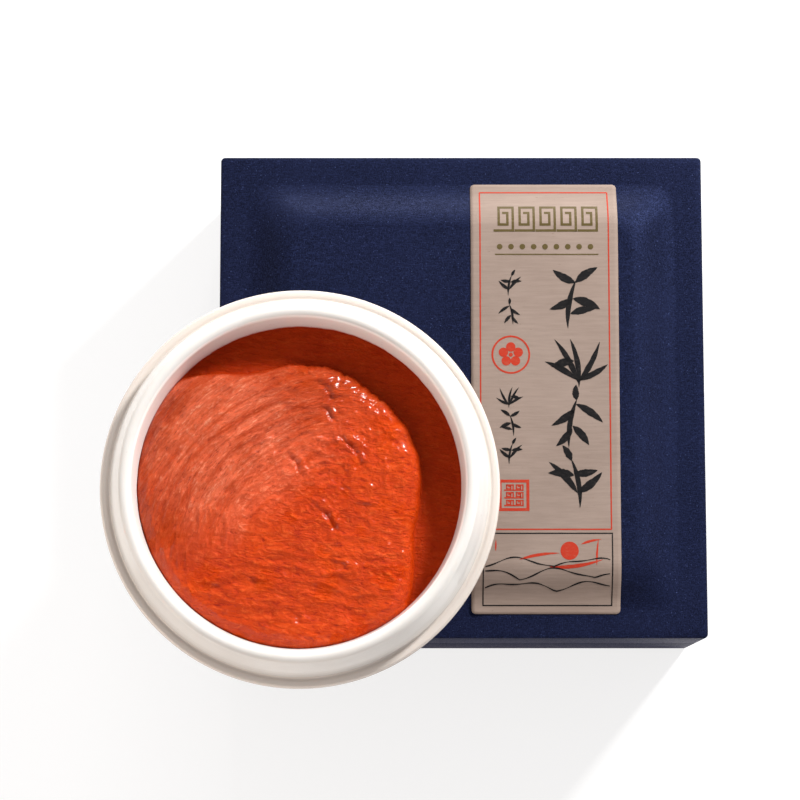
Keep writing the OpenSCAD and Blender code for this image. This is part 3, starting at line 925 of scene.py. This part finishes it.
def label_print():
    """Frames and generic ornaments in the label's three inks."""
    black = Print("label_black_print", "black_ink", 0.05)
    red = Print("label_red_print", "red_ink", 0.04)
    gold = Print("label_gold_print", "gold_ink", 0.045)

    left, right, top, foot = 2.4, 35.2, 108.3, 21.0
    red.line((left, foot), (left, top), 0.34)
    red.line((right, foot), (right, top), 0.34)
    red.line((left, top), (right, top), 0.34)
    red.line((left, foot), (right, foot), 0.34)

    fret_band(gold, 6.2, 97.6, 33.0, 6.2, 5, 0.62)
    for i in range(9):
        gold.dot(7.4 + 2.9 * i, 93.4, 0.72)
    gold.line((6.2, 91.4), (32.6, 91.4), 0.3)

    column = 26.0
    for level, kind, lean in ((78.6, BAMBOO, 1), (63.4, ORCHID, -1), (48.0, WILLOW, 1), (32.8, REED, -1)):
        leaf_spray(black, column, level, 13.2, lean, kind)

    small = 10.1
    for level, kind, lean in ((83.4, REED, 1), (76.0, WILLOW, -1)):
        leaf_spray(black, small, level, 5.6, lean, kind)
    for level, kind, lean in ((54.6, ORCHID, 1), (47.4, BAMBOO, -1), (40.2, REED, 1)):
        leaf_spray(black, small, level, 5.6, lean, kind)

    red.ring(small, 65.5, 4.7, 0.45)
    blossom(red, small, 65.5, 3.4)

    red.box(7.2, 26.0, 14.2, 33.2, 0.75)
    for i in range(3):
        fret_band(red, 8.4, 27.0 + 1.95 * i, 13.3, 1.3, 2, 0.34)

    low, high = 2.2, 20.0
    black.box(2.9, low, 35.4, high, 0.3)
    for crest, swell, phase in ((6.0, 1.8, 0.2), (8.6, 2.4, 1.7), (11.4, 2.2, 3.4)):
        path = []
        for i in range(41):
            t = i / 40
            ridge = abs(math.sin(phase + t * 5.2)) * swell + 0.4 * math.sin(phase * 3 + t * 17)
            path.append((3.4 + t * 31.4, crest + ridge))
        black.ribbon(path, [0.28 + 0.1 * math.sin(i * 0.9) for i in range(41)])
    red.dot(24.6, 15.6, 2.3, 28)
    for start, end, width, bow in (
        ((12.0, 13.4), (22.0, 15.0), 0.8, 0.04),
        ((19.6, 11.6), (33.0, 13.4), 0.9, -0.05),
        ((27.5, 17.2), (32.6, 18.4), 0.6, 0.05),
        ((31.4, 12.0), (31.9, 18.6), 0.5, 0.02),
        ((6.0, 15.6), (6.1, 18.4), 0.4, 0.0),
    ):
        red.brush(start, end, width, bow, 0.4)
    for ink_print in (black, red, gold):
        ink_print.set_down()


# Insert


def recess_reach(angle, grow):
    """Distance from the recess's axis to its wall, through a finger notch where there is one."""
    reach = RECESS_R + grow
    for centre in (math.pi / 4, math.pi * 5 / 4):
        off = (angle - centre + math.pi) % (2 * math.pi) - math.pi
        radius = NOTCH_R + grow
        gap = NOTCH_PLACE * math.sin(off)
        if abs(off) < math.pi / 2 and abs(gap) < radius:
            reach = max(reach, NOTCH_PLACE * math.cos(off) + math.sqrt(radius * radius - gap * gap))
    return reach


def square_reach(angle, half):
    return half / max(abs(math.cos(angle)), abs(math.sin(angle)))


def lay_rows(bm, turns, rows):
    """A sheet of rows round the axis; each row gives (radius, level) at an angle."""
    edges = None
    for row in rows:
        if edges is None:
            bmesh.ops.create_circle(bm, cap_ends=False, segments=turns, radius=1)
            edges = bm.edges[:]
            points = bm.verts[:]
        else:
            points, edges = pull_out(bm, edges)
        for p in points:
            angle = math.atan2(p.co.y, p.co.x)
            radius, level = row(angle)
            p.co = Vector((radius * math.cos(angle), radius * math.sin(angle), level))
    return edges


def insert_rows(half, top, grow, lip):
    """Rows from the insert's outer edge over a rounded lip down into the recess and its notches."""
    rows = [lambda a: (square_reach(a, half), top)]
    for share in (0.5, 0.2, 0.07):
        rows.append(
            lambda a, s=share: (
                (recess_reach(a, grow) + lip) * (1 - s) + square_reach(a, half) * s,
                top + 0.35 * math.sin(math.pi * s),
            )
        )
    for i in range(7):
        bend = math.pi / 2 * i / 6
        rows.append(
            lambda a, b=bend: (
                recess_reach(a, grow) + lip * (1 - math.sin(b)),
                top - lip * (1 - math.cos(b)),
            )
        )
    return rows


SATIN = 0.3


def pleat(angle, depth):
    """Small gathers where satin turns into a round recess."""
    return depth * (0.5 + 0.5 * math.sin(angle * 46 + 1.3 * math.sin(angle * 5)))


def satin_cover():
    """Satin over the insert: flat on top, gathered into the recess and the notches."""
    bm = bmesh.new()
    turns = 720
    rows = insert_rows(satin_high.x, satin_high.z, 0.0, 1.6)
    for level in (NOTCH_Z + 12, NOTCH_Z + 6, NOTCH_Z + 0.6):
        rows.append(lambda a, z=level: (recess_reach(a, 0.0) - pleat(a, 0.16), z))
    rows.append(lambda a: (recess_reach(a, 0.0) - 0.5, NOTCH_Z + 0.05))
    rows.append(lambda a: (min(RECESS_R, recess_reach(a, 0.0)) - 0.05, NOTCH_Z))
    for level in (NOTCH_Z - 6, RECESS_FLOOR + 0.8):
        rows.append(lambda a, z=level: (RECESS_R - pleat(a, 0.2), z))
    rows.append(lambda a: (RECESS_R - 0.8, RECESS_FLOOR + 0.05))
    for radius in (40.0, 20.0, 4.0):
        rows.append(lambda a, r=radius: (r, RECESS_FLOOR))
    edges = lay_rows(bm, turns, rows)
    bmesh.ops.edgeloop_fill(bm, edges=edges)
    nodes = ["insert_satin_cover"]
    piece = set_down("insert_satin", bm, "satin", "base", "gold_satin", nodes, thickness=SATIN, facing=1)


def insert_foam():
    """The foam block under the satin."""
    bm = bmesh.new()
    half = foam_high.x - 0.02
    low = foam_low.z
    rows = [lambda a: (RECESS_R + 0.5, low), lambda a: (square_reach(a, half), low)]
    rows += insert_rows(half, satin_high.z - 0.45, 0.45, 1.6)
    rows.append(lambda a: (recess_reach(a, 0.45), NOTCH_Z - 0.45))
    rows.append(lambda a: (RECESS_R + 0.5, NOTCH_Z - 0.45))
    rows.append(lambda a: (RECESS_R + 0.5, low))
    lay_rows(bm, 360, rows)
    piece = set_down("insert_foam", bm, "dark_foam", "base", "foam", ["foam_insert"])


def recess_disc():
    """The foam disc under the satin of the recess."""
    bm = bmesh.new()
    r = disc_high.x - 0.3
    low, high = disc_low.z, disc_high.z
    outline = [(0, low), (r - 0.3, low)]
    outline += arc(r - 0.4, (low + high) / 2 - 0.15, 0.6, -60, 60, 6)
    outline += [(r - 1.2, high - 0.15), (0, high - 0.1)]
    turn(bm, outline, 120)
    piece = set_down("recess_disc", bm, "dark_foam", "base", "foam", ["recess_pad"])


# Pot, paste and the pot's lid


COLLAR_FOOT = LIP_R - LEDGE_W
COLLAR_TOP = COLLAR_FOOT - COLLAR_LEAN
WELL_R = COLLAR_TOP - COLLAR_T - WELL_LEAN


def settle(bm, place, wobble, size):
    """Gives a turned piece the small unevenness of thrown porcelain and moves it to its place."""
    for v in bm.verts:
        out = Vector((v.co.x, v.co.y, 0))
        if out.length > 1:
            angle = math.atan2(v.co.y, v.co.x)
            swing = noise.noise(Vector((math.cos(angle) * size, math.sin(angle) * size, v.co.z * 0.05)))
            v.co += out.normalized() * swing * wobble
    bmesh.ops.translate(bm, vec=place, verts=bm.verts)


GROOVES = {3: 0.05, 5: 0.06}


def swollen(t, low, high):
    """The collar's swelling outside, from low (0) to high (1)."""
    swell = COLLAR_SWELL * math.sin(math.pi * t)
    return low[0] + (high[0] - low[0]) * t + swell, low[1] + (high[1] - low[1]) * t


def pot_outline():
    """From the middle of the underside, out over the foot, up the bowl and into the well."""
    inner = FOOT_R - FOOT_W
    top_r = COLLAR_T / 2
    top_c = COLLAR_TOP - top_r
    top_z = POT_H - top_r
    outline = [(0, FOOT_HOLLOW), (inner - 0.8, FOOT_HOLLOW)]
    outline += arc(inner - 0.8, FOOT_HOLLOW - 0.8, 0.8, 90, 0, 4)
    outline += arc(inner + EDGE_ROUND, EDGE_ROUND, EDGE_ROUND, 180, 270, 5)
    outline += arc(FOOT_R - EDGE_ROUND, EDGE_ROUND, EDGE_ROUND, 270, 360, 5)
    outline += [(FOOT_R, FOOT_H - 0.5), (FOOT_R + 0.15, FOOT_H - 0.12)]
    outline += oval(FOOT_R + 0.5, FOOT_H, LIP_R, LEDGE_Z - LIP_H, 28)
    lip = [math.pi / 2 * i / 6 for i in range(1, 7)]
    outline += [
        (LIP_R - EDGE_ROUND * 1.3 * (1 - math.cos(a)), LEDGE_Z - LIP_H + LIP_H * math.sin(a)) for a in lip
    ]
    outline += [(COLLAR_FOOT + 1.1, LEDGE_Z), (COLLAR_FOOT + 0.8, LEDGE_Z - 0.05)]
    outline += arc(COLLAR_FOOT + 0.4, LEDGE_Z + 0.25, 0.5, 290, 196, 6)
    for i in range(1, 12):
        groove = GROOVES.get(i, 0.0)
        out, z = swollen(i / 12, (COLLAR_FOOT, LEDGE_Z), (COLLAR_TOP, top_z))
        outline.append((out - groove, z))
    outline += arc(top_c, top_z, top_r, 16, 174, 14)
    for share in (0.3, 0.65):
        outline.append((COLLAR_TOP - COLLAR_T - WELL_LEAN * share, top_z + (PASTE_Z - top_z) * share))
    outline += reversed(oval(0, FLOOR_Z, WELL_R, PASTE_Z, 20))
    return outline


def pot_porcelain():
    bm = bmesh.new()
    turn(bm, pot_outline(), 192)
    settle(bm, POT, 0.07, 1.6)
    set_down("pot_porcelain", bm, "pot", "pot", "porcelain", ["pot_body"])


LUMP_H = 3.4
LUMP_EDGE = 4.4  # width of the lump's round edge
RIM_W = 2.6  # width over which the lump is lower beside the wall
CREEP = 0.4  # how far the paste creeps up the wall
CREEP_W = 0.7
OVERLAP = 0.2  # how far the paste reaches into the wall of the well
PASTE_GAP = 0.12
RINGS = 165
SPOKES = 500


def ridge(value):
    """Turns a pattern that swings about 0 into ridges with round valleys."""
    return 1 - min(1, 2.4 * abs(value))


def lump_depth(x, y):
    """Depth inside the folded lump's edge: it stops short of the wall at the back right only."""
    angle = math.atan2(y, x)
    c, s = math.cos(angle), math.sin(angle)
    apart = math.degrees(math.acos(max(-1, min(1, math.cos(angle - math.radians(LUMP_TURN))))))
    t = clamped((apart - LUMP_SPAN) / LUMP_BLEND)
    spread = LUMP_R + LUMP_FILL * t * t * (3 - 2 * t) + 0.9 * ripple(c * 2.3, s * 2.3, 1.0, 5.0)
    spread += 0.45 * ripple(c * 6, s * 6, 1.0, 8.0)
    torn = max(0.0, math.cos(angle - 1.0)) ** 8
    spread += torn * (0.7 * ripple(c * 26, s * 26, 1.0, 3.0) - 0.3)
    return spread - math.hypot(x, y)


def swept(x, y, along, across, seed):
    """Pattern drawn out along the sweep of a spatula."""
    dx, dy = x - SWEEP.x, y - SWEEP.y
    u = math.atan2(dy, dx) * SWEEP_R
    v = math.hypot(dx, dy) + 1.4 * ripple(x, y, 10.0, seed + 3) + 0.5 * ripple(x, y, 3.0, seed + 4)
    return noise.noise(Vector((u / along, v / across, seed)))


def laid(x, y, along, across, seed):
    """Pattern drawn out across the pot, nearly level in the picture."""
    warp = 1.8 * ripple(x, y, 9.0, seed + 5)
    return noise.noise(Vector((x / along, (y + 0.16 * x + warp) / across, seed)))


CREASES = [
    # start, end, width, depth
    ((4.2, 25.8), (9.0, 20.6), 0.7, 0.75),
    ((9.0, 20.6), (8.4, 16.0), 0.6, 0.5),
    ((-24.0, -25.5), (-13.0, -23.0), 0.8, 0.7),
    ((-13.0, -23.0), (-8.0, -24.0), 0.6, 0.4),
    ((-2.2, 7.4), (0.6, 2.6), 0.6, 0.85),
    ((5.2, 19.4), (9.4, 15.2), 0.6, 0.9),
    ((10.0, 12.6), (15.6, 4.8), 0.6, 0.9),
    ((4.6, -5.4), (9.8, -11.4), 0.6, 0.9),
    ((9.8, -11.4), (6.4, -17.6), 0.6, 0.45),
    ((12.0, -6.0), (20.0, -4.2), 0.6, 0.35),
    ((-4.0, 23.5), (0.0, 21.2), 0.8, 0.6),
    ((16.0, 22.0), (21.0, 16.0), 0.7, 0.5),
    ((-1.2, -31.0), (1.0, -34.0), 0.5, 0.5),
    ((22.0, 30.5), (24.5, 28.0), 1.2, 0.9),
]


def crease_cut(x, y):
    """How far the creases in the lump cut in at x, y."""
    deepest = 0.0
    lifted = 0.0
    for start, end, width, depth in CREASES:
        if abs(x - start[0]) > 14 or abs(y - start[1]) > 12:
            continue
        a, b = Vector(start), Vector(end)
        span = b - a
        off = Vector((x, y)) - a
        t = clamped(off.dot(span) / span.length_squared)
        side = (off.x * span.y - off.y * span.x) / span.length
        bowed = (off - span * t).length + 0.35 * math.sin(t * 8 + a.x) * math.copysign(1, side)
        ends = math.sin(math.pi * (0.06 + 0.88 * t))
        deepest = max(deepest, 0.55 * depth * ends * math.exp(-((bowed / width) ** 2)))
        lip = 0.4 * depth * ends * math.exp(-(((bowed - 2.4 * width) / (1.5 * width)) ** 2))
        lifted = max(lifted, lip if side < 0 else 0.0)
    return deepest - lifted


def paste_level(x, y):
    """Level of the paste over the pot's foot."""
    depth = lump_depth(x, y)
    gap = WELL_R - math.hypot(x, y)
    bed = 0.25 * ripple(x, y, 8.0, 1.0) + 0.14 * swept(x, y, 9.0, 1.5, 2.0)
    creep = CREEP * math.exp(-((gap / CREEP_W) ** 2))
    rise = 0.0
    if depth > 0:
        t = min(depth / LUMP_EDGE, 1)
        rise = LUMP_H * math.sqrt(1 - (1 - t) ** 2)
        dome = 0.9 * min(depth / LUMP_R, 1)
        swell = 0.55 * ripple(x, y, 12.0, 4.0) + 0.2 * ripple(x, y, 5.0, 4.4)
        upper = clamped((-x * 0.66 + y * 0.62 + 6) / 15)
        lower = clamped((-y - 8) / 14)
        combed = 0.46 * ridge(swept(x, y, 11.0, 2.4, 6.0)) + 0.30 * ridge(swept(x, y, 4.6, 1.15, 7.0))
        centre = math.exp(-(((x - 6) / 15) ** 2) - ((y - 14) / 15) ** 2)
        crumple = 0.60 * ridge(ripple(x, y, 4.2, 11.0)) + 0.36 * ridge(ripple(x, y, 1.9, 12.0))
        wrinkled = 0.40 * ridge(laid(x, y, 10.0, 3.4, 14.0)) + 0.15 * ridge(laid(x, y, 5.0, 1.4, 15.0))
        middle = crumple * (0.34 + 0.66 * centre) + wrinkled * (0.3 + 0.7 * lower)
        rise += (dome + swell + combed * upper + middle * (1 - upper) - crease_cut(x, y)) * t
    share = math.sqrt(clamped(gap / RIM_W))
    return PASTE_Z + bed + creep + rise * (0.45 + 0.55 * share)


def seal_paste():
    """The paste: a level bed with a kneaded lump folded over onto it."""
    bm = bmesh.new()
    reach = WELL_R + OVERLAP
    outline = [(reach * i / RINGS, PASTE_Z) for i in range(RINGS + 1)]
    under = [
        (max(r - 0.1, 0) if z > FLOOR_Z else 0, z + PASTE_GAP)
        for r, z in reversed(oval(0, FLOOR_Z, WELL_R, PASTE_Z - 2 * PASTE_GAP, 8))
    ]
    turn(bm, outline + under, SPOKES)
    for v in bm.verts:
        if abs(v.co.z - PASTE_Z) < MERGE:
            v.co.z = paste_level(v.co.x, v.co.y)
    bmesh.ops.translate(bm, vec=POT, verts=bm.verts)
    set_down("vermilion_paste", bm, "paste", "pot", "seal_paste", ["seal_paste"])


COVER_SIDE = 11.0
COVER_SHOULDER = 6.5
COVER_TOP_R = 38.0
COVER_TOP_T = 3.2
SKIRT_CLEAR = 0.5


def pot_cover():
    """The pot's lid: straight side, round shoulder and a gently domed top with one turned ring."""
    height = cover_high.z - cover_low.z
    dome_z = COVER_SIDE + COVER_SHOULDER
    dome_h = height - dome_z
    skirt = COLLAR_FOOT + SKIRT_CLEAR
    outline = arc(skirt + 0.5, 0.5, 0.5, 180, 270, 4) + arc(LIP_R - 0.6, 0.6, 0.6, 270, 360, 5)
    for i in range(1, 13):
        a = math.pi / 2 * i / 12
        outline.append(
            (COVER_TOP_R + (LIP_R - COVER_TOP_R) * math.cos(a), COVER_SIDE + COVER_SHOULDER * math.sin(a))
        )
    for i in range(1, 25):
        t = i / 24
        ring = -0.16 if i == 3 else 0.0
        outline.append((COVER_TOP_R * (1 - t), dome_z + dome_h * math.sin(math.pi / 2 * t) + ring))
    inside = dome_z - COVER_TOP_T
    outline += [(0, inside + dome_h), (COVER_TOP_R * 0.6, inside + dome_h * 0.6), (COVER_TOP_R, inside)]
    outline += arc(COLLAR_TOP + SKIRT_CLEAR - 3, inside - 3, 3, 80, 10, 5)
    skirt_top = (COLLAR_TOP + SKIRT_CLEAR, POT_H - LEDGE_Z - COLLAR_T / 2)
    outline += [swollen(i / 8, (skirt, 0.5), skirt_top) for i in range(8, 0, -1)]
    bm = bmesh.new()
    turn(bm, outline + [outline[0]], 160)
    settle(bm, Vector((0, 0, cover_low.z)), 0.05, 1.4)
    set_down("pot_cover", bm, "pot_lid", "pot_lid", "porcelain", ["pot_lid"])


# Pieces that keep their CAD shape


def finish_nodes():
    """Gives the flat boards, tapes and papers their finishes."""
    boards = ["base_bottom_board", "lid_top_board"]
    for side in ("front", "back", "left", "right"):
        boards += [f"base_{side}_board", f"neck_{side}", f"lid_{side}_board"]
    plain = {
        "board": boards,
        "tape": ["base_corner_tapes", "lid_corner_tapes"],
        "lining": ["base_lining", "lid_lining"],
        "neck_paper": ["neck_paper"],
        "underside": ["base_underside_sheet"],
    }
    for finish, nodes in plain.items():
        for node in nodes:
            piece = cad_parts[node]
            if not piece.material_slots:
                piece.data.materials.append(FINISHES[finish])
            for held in piece.material_slots:
                held.material = FINISHES[finish]


# Studio


def studio_camera():
    """Just in front of straight overhead, as the picture was taken."""
    distance = 0.70
    height = math.radians(82)
    target = Vector((-0.01574, -0.00145, 0.0521))
    away = Vector((0, -math.cos(height), math.sin(height)))
    data = bpy.data.cameras.new("camera")
    data.lens = 123.6
    data.sensor_width = 36
    data.clip_start = 0.01
    camera = add_object("camera", data)
    camera.location = target + away * distance
    camera.rotation_euler = (-away).to_track_quat("-Z", "Y").to_euler()
    bpy.context.scene.camera = camera


AIM = Vector((0, 0, 0.05))  # where every lamp points, in metres


def softbox(name, place, size, energy, colour):
    """A square lamp of size metres and energy watts at a place in metres."""
    data = bpy.data.lights.new(name, "AREA")
    data.shape = "SQUARE"
    data.size = size
    data.energy = energy
    data.color = colour
    lamp = add_object(name, data)
    lamp.location = place
    lamp.rotation_euler = (AIM - Vector(place)).to_track_quat("-Z", "Y").to_euler()


def studio_lights():
    softbox("key", (0.47, 0.51, 0.54), 0.12, 12.4, (1.0, 0.985, 0.96))
    softbox("back", (0.05, 0.95, 0.30), 0.35, 7.0, (1.0, 0.99, 0.98))
    softbox("fill", (-0.92, -0.42, 0.42), 0.8, 6.4, (1.0, 0.86, 0.73))
    softbox("front", (0.0, -0.98, 0.27), 0.5, 1.6, (1.0, 0.80, 0.66))


def studio_world():
    world = bpy.data.worlds.new("studio")
    world.use_nodes = True
    bpy.context.scene.world = world
    nodes = world.node_tree.nodes
    links = world.node_tree.links
    ambient = nodes["Background"]
    ambient.inputs["Color"].default_value = (0.92, 0.95, 1.0, 1)
    ambient.inputs["Strength"].default_value = 0.46
    seen = nodes.new("ShaderNodeBackground")
    seen.inputs["Color"].default_value = (1, 1, 1, 1)
    seen.inputs["Strength"].default_value = 1.0
    path = nodes.new("ShaderNodeLightPath")
    swap = nodes.new("ShaderNodeMixShader")
    links.new(path.outputs["Is Camera Ray"], swap.inputs[0])
    links.new(ambient.outputs[0], swap.inputs[1])
    links.new(seen.outputs[0], swap.inputs[2])
    links.new(swap.outputs[0], nodes["World Output"].inputs["Surface"])


def studio_floor():
    """Pale floor that shows white to the camera but keeps the object's shadow."""
    bm = bmesh.new()
    bmesh.ops.create_grid(bm, x_segments=1, y_segments=1, size=3.0)
    mesh = bpy.data.meshes.new("floor")
    bm.to_mesh(mesh)
    bm.free()
    floor = add_object("floor", mesh)
    floor.location.z = -0.0002
    f = Finish("floor_white", (0.80, 0.79, 0.78), Roughness=0.9, Specular_IOR_Level=0.1)
    seen = f.node("LightPath", "Is Camera Ray")
    f.colour(f.tint(seen, (0.80, 0.79, 0.78), (0.34, 0.34, 0.34)))
    both = f.tree.nodes.new("ShaderNodeAddShader")
    f.feed(both.inputs[0], f.shader.outputs[0])
    f.feed(both.inputs[1], f.node("Emission", "Emission", Strength=f.times(seen, 0.7)))
    f.feed(f.tree.nodes["Material Output"].inputs["Surface"], both.outputs[0])
    mesh.materials.append(f.material)


bpy.context.scene.view_settings.view_transform = "Standard"
studio_camera()
studio_lights()
studio_world()
studio_floor()

top_cloth, top_side = lid_cloth()
side_cloth, side_side = base_cloth()
sponge_pad()
label_paper()
label_print()
insert_foam()
recess_disc()
satin_cover()
pot_porcelain()
seal_paste()
pot_cover()
finish_nodes()
